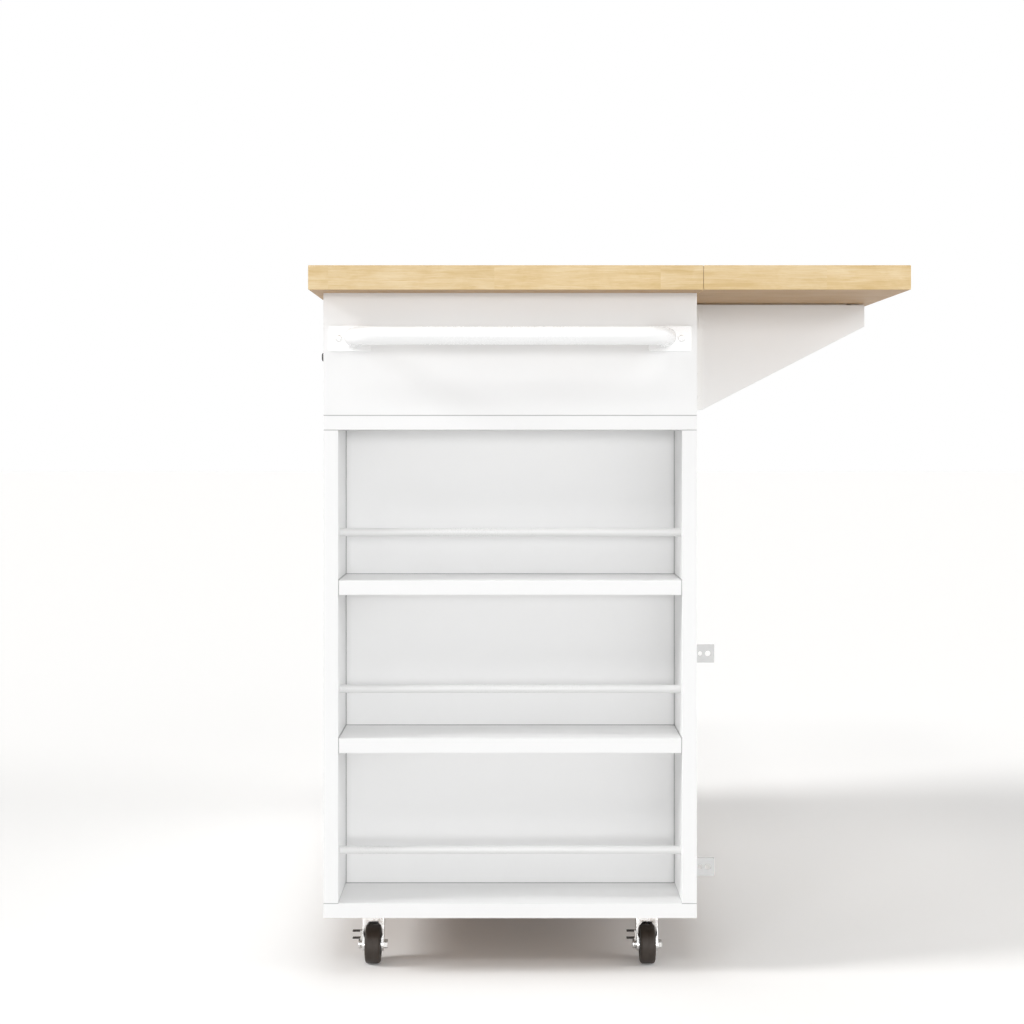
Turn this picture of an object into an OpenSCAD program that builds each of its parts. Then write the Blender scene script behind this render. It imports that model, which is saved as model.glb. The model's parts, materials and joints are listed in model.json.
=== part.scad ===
// Drop leaf kitchen island on casters, with an open spice rack and a towel bar on its near end.
// X runs from the door side to the leaf side, Y along the island from the rack to the far end, Z up.
// The modules are written from the rack face (y = 0) and the cabinet's middle (x = 0), and one
// translate puts the origin under the middle of the whole island, on the floor.

/* [Overall] */
// Height of the worktop surface above the floor
top_h = 912; // [880:1:950]
// Length of the cabinet, from the rack face to the far end
cab_l = 1004; // [960:1:1200]
// Depth of the cabinet, from the door faces to the back
cab_d = 482; // [460:1:540]
// Thickness of the carcass boards
board_t = 19; // [16:1:20]
// Thickness of the thin back panels
back_t = 12; // [8:1:14]

/* [Worktop and leaf] */
// Thickness of the worktop and the leaf
top_t = 31; // [25:1:38]
// Worktop past each end of the cabinet
top_over_end = 48; // [20:1:70]
// Worktop past the door faces
top_over_front = 14; // [8:1:30]
// Worktop past the back, to the leaf seam
top_over_back = 3; // [3:0.5:4]
// Width of the drop leaf
leaf_w = 261.5; // [255:0.1:300]
// Open seam between the worktop and the leaf
seam_gap = 0.5; // [0.4:0.1:1.5]
// Eased edge of the worktop and the leaf
edge_r = 1; // [0.5:0.5:3]

/* [Rack] */
// Depth of the open rack bays
rack_d = 100; // [80:1:110]
// Height of the lowest and of the highest rack bay
rack_bay_h = 194; // [170:1:205]
// Diameter of the rack rails
rail_d = 10.5; // [8:0.5:14]
// Middle of a rail behind the rack face
rail_setback = 22; // [14:1:40]
// Middle of the two upper rails above their shelf
rail_rise = 61; // [40:1:90]
// Middle of the lowest rail above the floor board
low_rail_rise = 64; // [40:1:90]
// Depth of a rail's socket in the stile
rail_socket = 8; // [5:1:12]

/* [Drawers and doors] */
// Height of the drawer band, from the middle board to the worktop
drawer_band_h = 158; // [145:1:175]
// Thickness of the doors and drawer fronts
front_t = 18; // [16:1:20]
// Gap around the doors and drawer fronts
front_gap = 2; // [2:0.5:4]
// Width of a door's frame
door_frame_w = 58; // [45:1:75]
// Width of a drawer front's frame
drawer_frame_w = 34; // [25:1:40]
// Depth of the sunk panel in a front
panel_sink = 6; // [3:0.5:9]
// Slope of the sunk panel's edge, along the face
panel_slope = 5; // [2:0.5:8]
// Room behind a closed drawer
drawer_back_room = 30; // [10:1:90]
// Height of a drawer box
drawer_box_h = 104; // [80:1:106]
// Thickness of a drawer box's walls
drawer_wall_t = 12; // [9:1:15]
// Thickness of a drawer's bottom
drawer_floor_t = 6; // [4:1:9]
// Thickness of the adjustable shelves
shelf_t = 16; // [15:1:19]
// Height of the adjustable shelves above the floor board
shelf_rise = 300; // [220:1:380]

/* [Pulls] */
// Height of a pull's flattened bar
pull_w = 14; // [12:0.5:16]
// Depth of a pull's flattened bar
pull_t = 9; // [7:0.5:10]
// Length of a pull
pull_l = 160; // [150:1:200]
// Distance between the posts of a pull
pull_post_gap = 128; // [96:1:140]
// Diameter of the posts of a pull
pull_post_d = 9; // [7:0.5:9.5]
// How far a pull stands out from its front
pull_proj = 31; // [28:1:40]
// Middle of a drawer pull below the worktop's underside
drawer_pull_drop = 71; // [60:1:90]

/* [Towel bar] */
// Outer diameter of the towel bar
towel_d = 23; // [16:0.5:26]
// Wall of the towel bar's tube
towel_wall = 2; // [1:0.5:3]
// Middle of the towel bar from the end panel
towel_reach = 68; // [58:1:80]
// Towel bar's roots from the cabinet's front and back
towel_root_inset = 42; // [36:1:70]
// Bend radius of the towel bar, at the middle of the tube
towel_bend_r = 30; // [26:1:40]
// Middle of the towel bar below the worktop's underside
towel_drop = 59; // [45:1:80]
// Width of a towel bar plate
towel_plate_w = 55.6; // [50:0.1:58]
// Height of a towel bar plate
towel_plate_h = 32.5; // [28:0.1:38]
// Thickness of a towel bar plate
towel_plate_t = 2.5; // [2:0.5:4]
// Distance from a root to the middle of its plate
towel_plate_shift = 7.2; // [5:0.1:8]
// Distance from a root to its screw
towel_screw_shift = 22; // [20:0.5:24]

/* [Leaf wings] */
// Thickness of a wing
wing_t = 19; // [15:1:20]
// Reach of a wing from its hinge pin
wing_l = 250; // [220:1:252]
// Gap between a wing and the middle board
wing_floor_gap = 10; // [4:1:30]
// Height of a wing at its outer end
wing_tip_h = 30; // [20:1:50]
// Near face of the open near wing behind the rack face
wing_y = 175; // [170:1:185]
// Gap between a wing and the leaf over it
wing_top_gap = 2; // [2:0.5:4]
// Diameter of the pad on a wing
pad_d = 14; // [10:1:16]

/* [Hinges] */
// Radius of the hinge barrels
hinge_r = 3; // [2.5:0.5:3.5]
// Radius of the hinge pins
pin_r = 1.5; // [1:0.1:1.8]
// Thickness of the wing and leaf hinge plates
plate_t = 1.5; // [1:0.1:1.8]
// Width of the wing hinge plates, from the pin
wing_plate_w = 24; // [20:1:28]
// Length of a leaf hinge
leaf_hinge_l = 70; // [50:1:80]
// Radius of the leaf hinge barrels
leaf_barrel_r = 2.5; // [2.3:0.1:2.7]
// Width of the leaf hinge plates, from the pin
leaf_plate_w = 24; // [18:1:30]
// Gap between a wing and the leaf hinge behind it
leaf_hinge_gap = 16; // [6:1:60]
// Length of a door hinge
door_hinge_l = 64; // [50:1:80]
// Middle of a door hinge from the door's end
door_hinge_inset = 90; // [60:1:120]

/* [Casters] */
// Height of the casters
caster_h = 74; // [70:1:85]
// Diameter of the wheels
wheel_d = 50; // [44:1:50]
// Width of the tread
wheel_w = 20; // [18:1:24]
// Swivel axis from the cabinet's front and back
caster_inset_x = 60; // [55:1:80]
// Swivel axis from the cabinet's ends
caster_inset_y = 72; // [60:1:90]
// Axle behind the swivel axis
caster_trail = 18; // [16:1:26]
// Gap between the tread and a leg of the fork
fork_gap = 0.7; // [0.5:0.1:1.5]
// How far the fork's round arch cuts into its legs
fork_bulge = 2.2; // [1.6:0.1:2.8]
// Thinnest part of a leg, beside the arch
fork_t = 1.2; // [1:0.1:2.5]
// Radius of the axle
axle_r = 3; // [2.5:0.5:4]
// Side of the square top plate
caster_plate = 58; // [50:1:70]

/* [Tie brackets] */
// Middle of the lower tie bracket above the floor
tie_low_z = 111.5; // [108:0.5:140]
// Middle of the upper tie bracket above the floor
tie_high_z = 401; // [340:1:440]
// Middle plane of the tie brackets before the rear face of the rack's partition
tie_inset = 5; // [3:0.5:19]
// Reach of a tie bracket from the back
tie_reach = 36; // [30:1:45]
// Height of a tie bracket
tie_h = 24.6; // [20:0.1:30]
// Sheet of a tie bracket
tie_t = 2; // [1.5:0.1:3]
// Radius of the outer, bolt hole of a tie bracket
tie_hole_r = 3.8; // [2.5:0.1:4.5]
// Bolt hole from the back
tie_hole_x = 27.2; // [25:0.1:29]
// Radius of the inner, screw hole of a tie bracket
tie_small_r = 2.9; // [2:0.1:3.2]
// Screw hole from the back
tie_small_x = 16.7; // [14:0.1:18]

/* [Hidden] */
$fn = 64;

// Clearances
seat = 0.3;            // running gap between pieces that move past each other
pin_fit = 0.05;        // radial clearance of a pin or axle in its bore
peg_fit = 0.1;         // radial clearance of a rail, screw or shelf pin in its socket
front_clear = 1;       // gap behind a closed door or drawer front
plate_gap = 0.1;       // half the gap between the plates of a closed door hinge
eps = 0.01;            // overshoot of a cutter

// Faces of the cabinet
front_x = -cab_d / 2;
back_x = cab_d / 2;
inner_front_x = front_x + board_t;
inner_back_x = back_x - board_t;
deck_z = caster_h;
floor_z = deck_z + board_t;
under_z = top_h - top_t;
band_z = under_z - drawer_band_h;
middle_z = band_z - board_t;
end_y = cab_l - board_t;

// Worktop, seam and leaf
top_x0 = front_x - top_over_front;
top_x1 = back_x + top_over_back;
top_l = cab_l + 2 * top_over_end;
leaf_x0 = top_x1 + seam_gap;
leaf_x1 = leaf_x0 + leaf_w;
leaf_pin_x = top_x1 + seam_gap / 2;
leaf_pin_off = 0.3;    // pin of a leaf hinge below the seat of its plates
leaf_pin_z = under_z + plate_t - leaf_pin_off;
leaf_hinge_y = wing_y + wing_t + leaf_hinge_gap + leaf_hinge_l / 2;
leaf_hinge_room = 0.5; // free space around a leaf hinge's barrel
leaf_mortise_gap = 0.3;

// Origin under the middle of the whole island
origin_x = (leaf_x1 + front_x - pull_proj) / 2;
origin_y = (cab_l + top_over_end - towel_reach - towel_d / 2) / 2;

// Rack
bay_y1 = rack_d;
zone_y0 = bay_y1 + board_t;
rack_shelf_z = [floor_z + rack_bay_h, middle_z - rack_bay_h - board_t];
rail_z = [floor_z + low_rail_rise, for (z = rack_shelf_z) z + board_t + rail_rise];

// Cupboards and drawers
zone_mid = (zone_y0 + end_y) / 2;
divider_y0 = zone_mid - board_t / 2;
front_back_x = front_x + front_t;
carcass_x0 = front_back_x + front_clear;
rail_top_w = 60;       // width of the two top rails
slide_space = 13;      // room for a slide between a drawer and its wall

// Back posts and the pockets that the wings fold into
pocket_d = wing_t + hinge_r;
post_x0 = back_x - pocket_d;
upper_back_x0 = post_x0 - back_t;
drawer_l = upper_back_x0 - front_back_x - drawer_back_room;
wing_pin_x = back_x + hinge_r;
wing_pin_y = wing_y - hinge_r;
wing_root = 1.5;       // wood of a wing from its pin
wing_top_z = under_z - wing_top_gap;
wing_bottom_z = band_z + wing_floor_gap;
wing_h = wing_top_z - wing_bottom_z;
post_y1 = wing_pin_y - hinge_r / 2;
pocket_room = 10;      // room past a folded wing's end
pocket_end = wing_pin_y + wing_l + pocket_room;
pad_inset = 15;        // middle of a wing's pad from its outer end

// Door hinges: the plates lie in the gap beside the door
door_pin_x = front_x - hinge_r - seat;
door_pin_off = front_gap / 2;
door_plate_t = door_pin_off - plate_gap;
door_plate_w = front_t + hinge_r - front_clear;
door_z0 = floor_z + front_gap;
door_z1 = middle_z - front_gap;

// Towel bar
towel_z = under_z - towel_drop;
towel_root_gap = cab_d - 2 * towel_root_inset;
towel_corner_r = 2;    // corners of its plates

// Moves a near-end shape to its mirrored place about the plane y = mid
module mirrored_about(mid) {
    translate([0, 2 * mid, 0]) mirror([0, 1, 0]) children();
}

// Puts the island's origin under its middle
module placed() {
    translate([-origin_x, -origin_y, 0]) children();
}

// A box between two corners
module block(x, y, z) {
    translate([x[0], y[0], z[0]]) cube([x[1] - x[0], y[1] - y[0], z[1] - z[0]]);
}

// A rectangle with rounded corners, from the origin
module rounded_rect(w, h, r) {
    translate([r, 0]) square([w - 2 * r, h]);
    translate([0, r]) square([w, h - 2 * r]);
    for (x = [r, w - r], y = [r, h - r]) translate([x, y]) circle(r = r);
}

// ---- Worktop ----

// A solid wood slab with eased long edges, cut out for the leaf hinges
module slab(x0, x1) {
    difference() {
        translate([x0, top_l - top_over_end, under_z]) rotate([90, 0, 0])
            linear_extrude(top_l) rounded_rect(x1 - x0, top_t, edge_r);
        at_leaf_hinges() leaf_hinge_cut();
    }
}

module worktop() {
    color("#e6ce9f") slab(top_x0, top_x1);
}

module drop_leaf() {
    color("#e6ce9f") slab(leaf_x0, leaf_x1);
}

// ---- Hinges ----

// One half of a hinge with its pin axis on Z: the plate runs along +X, and its face on the wood is
// off away from the axis, on the +Y side. The half with parity 0 carries the pin.
module hinge_half(len, count, parity, width, off, thick, r = hinge_r) {
    step = len / count;
    difference() {
        union() {
            for (i = [parity : 2 : count - 1]) translate([0, 0, i * step + seat / 2]) {
                cylinder(r = r, h = step - seat);
                cube([r, off, step - seat]);
            }
            translate([0, off - thick, 0]) cube([width, thick, len]);
        }
        for (i = [1 - parity : 2 : count - 1])
            translate([0, 0, i * step - seat / 2]) cylinder(r = r + seat, h = step + seat);
        if (parity == 1) translate([0, 0, -eps]) cylinder(r = pin_r + pin_fit, h = len + 2 * eps);
    }
    if (parity == 0) translate([0, 0, seat / 2]) cylinder(r = pin_r, h = len - seat);
}

// Places a leaf hinge half at each of the three hinges, its pin axis along Y and +Y downwards
module at_leaf_hinges() {
    for (y = [leaf_hinge_y, cab_l / 2, cab_l - leaf_hinge_y])
        translate([leaf_pin_x, y - leaf_hinge_l / 2, leaf_pin_z]) rotate([-90, 0, 0]) children();
}

// The mortise that sets both plates of a leaf hinge flush, and the groove for its barrel
module leaf_hinge_cut() {
    half = leaf_plate_w + leaf_mortise_gap;
    groove = leaf_barrel_r + leaf_hinge_room;
    len = leaf_hinge_l + 2 * leaf_mortise_gap;
    translate([-half, -leaf_pin_off, -leaf_mortise_gap]) cube([2 * half, plate_t + 1, len]);
    translate([-groove, -groove, -leaf_mortise_gap]) cube([2 * groove, groove + plate_t + 1, len]);
}

module leaf_hinge_half(parity) {
    mirror([0, 1, 0])
        hinge_half(leaf_hinge_l, 5, parity, leaf_plate_w, leaf_pin_off, plate_t, leaf_barrel_r);
}

module leaf_hinge_plates() {
    color("#33302d") at_leaf_hinges() mirror([1, 0, 0]) leaf_hinge_half(0);
}

module leaf_hinge_flaps() {
    color("#33302d") at_leaf_hinges() leaf_hinge_half(1);
}

// ---- Carcass ----

module bottom_board() {
    color("#f7f7f6") difference() {
        block([front_x, back_x], [0, cab_l], [deck_z, floor_z]);
        at_caster_screws() cylinder(r = screw_shank_r + peg_fit, h = screw_len + peg_fit);
    }
}

module middle_board() {
    color("#f7f7f6") block([front_x, back_x], [0, end_y], [middle_z, band_z]);
}

module near_end_panel() {
    color("#f7f7f6") difference() {
        block([front_x, back_x], [0, board_t], [band_z, under_z]);
        at_towel_screws() screw_bore();
    }
}

module far_end_panel() {
    color("#f7f7f6") difference() {
        block([front_x, back_x], [end_y, cab_l], [floor_z, under_z]);
        shelf_pin_holes(end_y);
    }
}

module rack_stiles() {
    color("#f7f7f6") difference() {
        union() {
            block([front_x, inner_front_x], [0, zone_y0], [floor_z, middle_z]);
            block([inner_back_x, back_x], [0, zone_y0], [floor_z, middle_z]);
        }
        rail_rods(rail_d / 2 + peg_fit, rail_socket + peg_fit);
        at_tie_screws() screw_bore();
    }
}

module rack_partition() {
    color("#f7f7f6") difference() {
        block([inner_front_x, inner_back_x], [bay_y1, zone_y0], [floor_z, middle_z]);
        shelf_pin_holes(zone_y0);
    }
}

module rack_shelves() {
    color("#f7f7f6") for (z = rack_shelf_z)
        block([inner_front_x, inner_back_x], [0, bay_y1], [z, z + board_t]);
}

// The three rods, sunk into the stiles at both ends
module rail_rods(r, sink) {
    for (z = rail_z)
        translate([inner_front_x - sink, rail_setback, z]) rotate([0, 90, 0])
            cylinder(r = r, h = inner_back_x - inner_front_x + 2 * sink);
}

module rack_rails() {
    color("#f4f4f3") rail_rods(rail_d / 2, rail_socket);
}

module drawer_partition() {
    color("#f7f7f6")
        block([carcass_x0, upper_back_x0], [bay_y1, zone_y0], [band_z, under_z - board_t]);
}

module drawer_divider() {
    color("#f7f7f6") block([carcass_x0, upper_back_x0], [divider_y0, divider_y0 + board_t],
                           [band_z, under_z - board_t]);
}

module cupboard_divider() {
    color("#f7f7f6") difference() {
        block([carcass_x0, back_x - back_t], [divider_y0, divider_y0 + board_t],
              [floor_z, middle_z]);
        shelf_pin_holes(divider_y0);
        shelf_pin_holes(divider_y0 + board_t);
    }
}

module front_filler() {
    color("#f7f7f6") block([front_x, inner_front_x], [board_t, zone_y0], [band_z, under_z]);
}

module lower_back_panel() {
    color("#f7f7f6") block([back_x - back_t, back_x], [zone_y0, end_y], [floor_z, middle_z]);
}

module upper_back_panel() {
    color("#f7f7f6") block([upper_back_x0, post_x0], [board_t, end_y], [band_z, under_z]);
}

// Three posts at the back: the wings fold into the pockets between them
module back_posts() {
    color("#f7f7f6") {
        block([post_x0, back_x], [board_t, post_y1], [band_z, under_z]);
        block([post_x0, back_x], [pocket_end, cab_l - pocket_end], [band_z, under_z]);
        block([post_x0, back_x], [cab_l - post_y1, end_y], [band_z, under_z]);
    }
}

module front_top_rail() {
    color("#f7f7f6") block([carcass_x0, carcass_x0 + rail_top_w],
                           [board_t, end_y], [under_z - board_t, under_z]);
}

module back_top_rail() {
    color("#f7f7f6") block([upper_back_x0 - rail_top_w, upper_back_x0],
                           [board_t, end_y], [under_z - board_t, under_z]);
}

// ---- Shelves ----

shelf_z = floor_z + shelf_rise;
shelf_setback = 12;    // shelf behind the carcass's front
shelf_back_gap = 4;    // shelf in front of the back panel
shelf_x = [carcass_x0 + shelf_setback, back_x - back_t - shelf_back_gap];
pin_peg_r = 2.5;       // radius of a shelf pin
pin_inset = 45;        // shelf pins from the shelf's front and back
pin_sink = 6;          // a shelf pin inside its wall
pin_out = 9;           // a shelf pin outside its wall
pin_x = [shelf_x[0] + pin_inset, shelf_x[1] - pin_inset];
shelf_side_gap = 1;    // gap between a shelf and its walls

// The bores for the shelf pins in a wall face at y
module shelf_pin_holes(y) {
    sink = pin_sink + peg_fit;
    for (x = pin_x) translate([x, y - sink, shelf_z - pin_peg_r]) rotate([-90, 0, 0])
        cylinder(r = pin_peg_r + peg_fit, h = 2 * sink);
}

module cupboard_shelves() {
    color("#f7f7f6") {
        block(shelf_x, [zone_y0 + shelf_side_gap, divider_y0 - shelf_side_gap],
              [shelf_z, shelf_z + shelf_t]);
        block(shelf_x, [divider_y0 + board_t + shelf_side_gap, end_y - shelf_side_gap],
              [shelf_z, shelf_z + shelf_t]);
    }
}

module shelf_pins() {
    // Inner end of a pin, for each wall face that carries pins
    starts = [zone_y0 - pin_sink, divider_y0 - pin_out, divider_y0 + board_t - pin_sink,
              end_y - pin_out];
    color("#c9c9c7") for (x = pin_x, y = starts)
        translate([x, y, shelf_z - pin_peg_r]) rotate([-90, 0, 0])
            cylinder(r = pin_peg_r, h = pin_sink + pin_out);
}

// ---- Doors and drawer fronts ----

// A front with a framed, sunk panel on its -X face
module framed_front(y, z, frame_w) {
    difference() {
        block([front_x, front_back_x], y, z);
        hull() {
            block([front_x - 1, front_x], [y[0] + frame_w, y[1] - frame_w],
                  [z[0] + frame_w, z[1] - frame_w]);
            block([front_x, front_x + panel_sink],
                  [y[0] + frame_w + panel_slope, y[1] - frame_w - panel_slope],
                  [z[0] + frame_w + panel_slope, z[1] - frame_w - panel_slope]);
        }
    }
}

// A flattened bar on two posts, along Y: the face of the front is x = 0, and the posts stand on x = sink
module bar_pull(sink) {
    bar_x = pull_t / 2 - pull_proj;
    translate([bar_x, pull_l / 2, 0]) rotate([90, 0, 0]) linear_extrude(pull_l) {
        translate([-pull_t / 2, -pull_flat / 2]) square([pull_t, pull_flat]);
        for (side = [-1, 1]) translate([0, side * pull_flat / 2]) circle(d = pull_t);
    }
    for (side = [-1, 1])
        translate([bar_x, side * pull_post_gap / 2, 0]) rotate([0, 90, 0])
            cylinder(d = pull_post_d, h = sink - bar_x);
}

front_y = [zone_y0 + front_gap, zone_mid - front_gap / 2];
pull_flat = pull_w - pull_t; // flat face of a pull's bar

module door() {
    framed_front(front_y, [door_z0, door_z1], door_frame_w);
}

// Places a hinge half at both of a door's hinges
module at_door_hinges() {
    for (z = [door_z0 + door_hinge_inset, door_z1 - door_hinge_inset])
        translate([door_pin_x, zone_y0 + door_pin_off, z - door_hinge_l / 2]) children();
}

module door_plates() {
    at_door_hinges() mirror([0, 1, 0])
        hinge_half(door_hinge_l, 3, 0, door_plate_w, door_pin_off, door_plate_t);
}

module door_flaps() {
    at_door_hinges() hinge_half(door_hinge_l, 3, 1, door_plate_w, door_pin_off, door_plate_t);
}

module door_pull() {
    translate([front_x, front_y[1] - door_frame_w / 2, door_z1 - door_frame_w - pull_l / 2])
        rotate([90, 0, 0]) bar_pull(0);
}

module door_hinge_plates() {
    color("#b9bbbd") {
        door_plates();
        mirrored_about(zone_mid) door_plates();
    }
}

module near_door() { color("#f7f7f6") door(); }
module near_door_flaps() { color("#b9bbbd") door_flaps(); }
module near_door_pull() { color("#262524") door_pull(); }
module far_door() { color("#f7f7f6") mirrored_about(zone_mid) door(); }
module far_door_flaps() { color("#b9bbbd") mirrored_about(zone_mid) door_flaps(); }
module far_door_pull() { color("#262524") mirrored_about(zone_mid) door_pull(); }

// ---- Drawers ----

drawer_y = [zone_y0 + slide_space, divider_y0 - slide_space];
drawer_rise = 12;      // drawer above the middle board
drawer_z0 = band_z + drawer_rise;
drawer_x = [front_back_x, front_back_x + drawer_l];
slide_z = drawer_z0 + drawer_box_h / 2;
slide_t = 1.2;         // sheet of a drawer slide
slide_h = 36;          // height of a fixed slide
slide_web = 9;         // depth of a slide's flanges
slide_x = front_back_x + 6;
slide_l = drawer_l - 6;

// A channel along +X from x = 0, its web on y = 0 and its flanges towards +Y
module channel(len, high) {
    difference() {
        translate([0, 0, -high / 2]) cube([len, slide_web, high]);
        translate([-1, slide_t, -high / 2 + slide_t])
            cube([len + 2, slide_web, high - 2 * slide_t]);
    }
}

module drawer_front() {
    framed_front(front_y, [band_z + front_gap, under_z - front_gap], drawer_frame_w);
}

// An open box, with a slide's moving channel on each side
module drawer_box() {
    inner_h = slide_h - 2 * slide_t - 2 * seat;
    difference() {
        block(drawer_x, drawer_y, [drawer_z0, drawer_z0 + drawer_box_h]);
        block([drawer_x[0] + drawer_wall_t, drawer_x[1] - drawer_wall_t],
              [drawer_y[0] + drawer_wall_t, drawer_y[1] - drawer_wall_t],
              [drawer_z0 + drawer_floor_t, under_z]);
    }
    translate([slide_x, drawer_y[0], slide_z]) mirror([0, 1, 0]) channel(slide_l, inner_h);
    translate([slide_x, drawer_y[1], slide_z]) channel(slide_l, inner_h);
}

module drawer_rail_pair() {
    translate([slide_x, zone_y0, slide_z]) channel(slide_l, slide_h);
    translate([slide_x, divider_y0, slide_z]) mirror([0, 1, 0]) channel(slide_l, slide_h);
}

module drawer_pull() {
    translate([front_x, (front_y[0] + front_y[1]) / 2, under_z - drawer_pull_drop])
        bar_pull(panel_sink);
}

module drawer_rails() {
    color("#d9dadb") {
        drawer_rail_pair();
        mirrored_about(zone_mid) drawer_rail_pair();
    }
}

module near_drawer_front() { color("#f7f7f6") drawer_front(); }
module near_drawer_box() { color("#efece4") drawer_box(); }
module near_drawer_pull() { color("#262524") drawer_pull(); }
module far_drawer_front() { color("#f7f7f6") mirrored_about(zone_mid) drawer_front(); }
module far_drawer_box() { color("#efece4") mirrored_about(zone_mid) drawer_box(); }
module far_drawer_pull() { color("#262524") mirrored_about(zone_mid) drawer_pull(); }

// ---- Wings ----

// The near wing, open: a tapered board on a full-height piano hinge
module wing() {
    x0 = wing_pin_x + wing_root;
    x1 = wing_pin_x + wing_l;
    translate([0, wing_y + wing_t, 0]) rotate([90, 0, 0]) linear_extrude(wing_t)
        polygon([[x0, wing_bottom_z], [wing_pin_x + wing_plate_w, wing_bottom_z],
                 [x1, wing_top_z - wing_tip_h], [x1, wing_top_z], [x0, wing_top_z]]);
}

module wing_plate() {
    translate([wing_pin_x, wing_pin_y, wing_bottom_z]) mirror([1, 1, 0])
        hinge_half(wing_h, 9, 0, wing_plate_w, hinge_r, plate_t);
}

module wing_flap() {
    translate([wing_pin_x, wing_pin_y, wing_bottom_z])
        hinge_half(wing_h, 9, 1, wing_plate_w, hinge_r, plate_t);
}

module wing_pad() {
    translate([wing_pin_x + wing_l - pad_inset, wing_y + wing_t / 2, wing_top_z])
        cylinder(d = pad_d, h = wing_top_gap - seat);
}

module wing_hinge_plates() {
    color("#dcdcda") {
        wing_plate();
        mirrored_about(cab_l / 2) wing_plate();
    }
}

module near_wing() { color("#f1f0ee") wing(); }
module near_wing_flap() { color("#dcdcda") wing_flap(); }
module near_wing_pad() { color("#4b4a48") wing_pad(); }
module far_wing() { color("#f1f0ee") mirrored_about(cab_l / 2) wing(); }
module far_wing_flap() { color("#dcdcda") mirrored_about(cab_l / 2) wing_flap(); }
module far_wing_pad() { color("#4b4a48") mirrored_about(cab_l / 2) wing_pad(); }

// ---- Towel bar ----

// Half of the bar, from the middle of the island to its root on the +X side
module towel_bar_half(r) {
    straight = towel_root_gap / 2 - towel_bend_r;
    translate([0, -towel_reach, towel_z]) rotate([0, 90, 0]) cylinder(r = r, h = straight);
    translate([straight, towel_bend_r - towel_reach, towel_z])
        rotate([0, 0, -90]) rotate_extrude(angle = 90) translate([towel_bend_r, 0]) circle(r = r);
    translate([towel_root_gap / 2, -towel_plate_t, towel_z]) rotate([90, 0, 0])
        cylinder(r = r, h = towel_reach - towel_bend_r - towel_plate_t);
}

module towel_bar_solid(r) {
    towel_bar_half(r);
    mirror([1, 0, 0]) towel_bar_half(r);
}

module towel_bar() {
    color("#fafafa") difference() {
        towel_bar_solid(towel_d / 2);
        towel_bar_solid(towel_d / 2 - towel_wall);
    }
}

module at_towel_roots() {
    for (side = [0, 1]) mirror([side, 0, 0]) translate([towel_root_gap / 2, 0, towel_z]) children();
}

module at_towel_screws() {
    at_towel_roots() translate([towel_screw_shift, -towel_plate_t, 0]) rotate([-90, 0, 0]) children();
}

module towel_bar_plates() {
    color("#fafafa") difference() {
        at_towel_roots()
            translate([towel_plate_shift - towel_plate_w / 2, 0, -towel_plate_h / 2])
                rotate([90, 0, 0]) linear_extrude(towel_plate_t)
                    rounded_rect(towel_plate_w, towel_plate_h, towel_corner_r);
        at_towel_screws() screw_bore();
    }
}

// ---- Tie brackets ----

tie_y = zone_y0 - tie_inset;
tie_foot = 24;         // foot of a tie bracket along the back
tie_lip = 1.2;         // bent lip at the outer end

module at_tie_brackets() {
    for (z = [tie_low_z, tie_high_z]) translate([back_x, tie_y, z]) children();
}

module at_tie_screws() {
    at_tie_brackets() translate([tie_t, -tie_foot / 2, 0]) rotate([0, -90, 0]) children();
}

module tie_brackets() {
    color("#f2f2f1") difference() {
        at_tie_brackets() {
            translate([0, -tie_t / 2, -tie_h / 2]) cube([tie_reach, tie_t, tie_h]);
            translate([0, tie_t / 2 - tie_foot, -tie_h / 2]) cube([tie_t, tie_foot, tie_h]);
            translate([tie_reach - tie_t, -tie_t / 2, -tie_h / 2])
                cube([tie_t, tie_t + tie_lip, tie_h]);
        }
        at_tie_brackets() for (hole = [[tie_hole_x, tie_hole_r], [tie_small_x, tie_small_r]])
            translate([hole[0], tie_t, 0]) rotate([90, 0, 0]) cylinder(r = hole[1], h = 2 * tie_t);
        at_tie_screws() screw_bore();
    }
}

// ---- Screws ----

screw_head_r = 4.5;    // pan head
screw_head_h = 2;
screw_shank_r = 2;
screw_len = 14;

// A screw along +Z: its head seats on z = 0
module pan_screw() {
    translate([0, 0, -screw_head_h]) cylinder(r = screw_head_r, h = screw_head_h);
    cylinder(r = screw_shank_r, h = screw_len);
}

// The bore that a pan screw runs in, from its seat
module screw_bore() {
    translate([0, 0, -eps]) cylinder(r = screw_shank_r + peg_fit, h = screw_len + peg_fit + eps);
}

module pan_head_screws() {
    color("#d8d8d6") {
        at_towel_screws() pan_screw();
        at_tie_screws() pan_screw();
    }
}

// ---- Casters ----

caster_plate_t = 2.5;  // top plate
plate_corner_r = 6;    // corners of the top plate
plate_screw_inset = 8; // screws from the top plate's sides
race_r = 15.5;         // ball race
race_rim = 2;          // upper half of the race past the lower one
race_h = 6;            // upper half of the race
cup_h = 5.5;           // round top of the fork
crown_h = 11.4;        // top of the fork over its arch
king_r = 4;            // king pin
king_head_r = 5.5;
king_head_h = 3;
king_room = 1.2;       // flat top of the fork's arch past the king pin's head
crown_z = caster_h - caster_plate_t - race_h;
king_z = crown_z - crown_h - king_head_h;
wheel_r = wheel_d / 2;
wheel_shoulder = 3;    // rounded shoulder of the tread
wheel_rim = 9;         // depth of the rim, with the tread
hub_r = 8;
fork_w = wheel_w + 2 * fork_gap;
arch_r = fork_w / 2 + fork_bulge;
arch_z = crown_z - crown_h - arch_r;
fork_half = arch_r + fork_t;
fork_span = 80;        // room around the fork's side outline
fork_leg_r = 9;        // round foot of a fork's leg
fork_shoulder = 6;     // straight side of the fork below its top
fork_front = 1;        // front edge of the fork inside its race
fork_rear = 4;         // back edge of the fork inside its race
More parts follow.
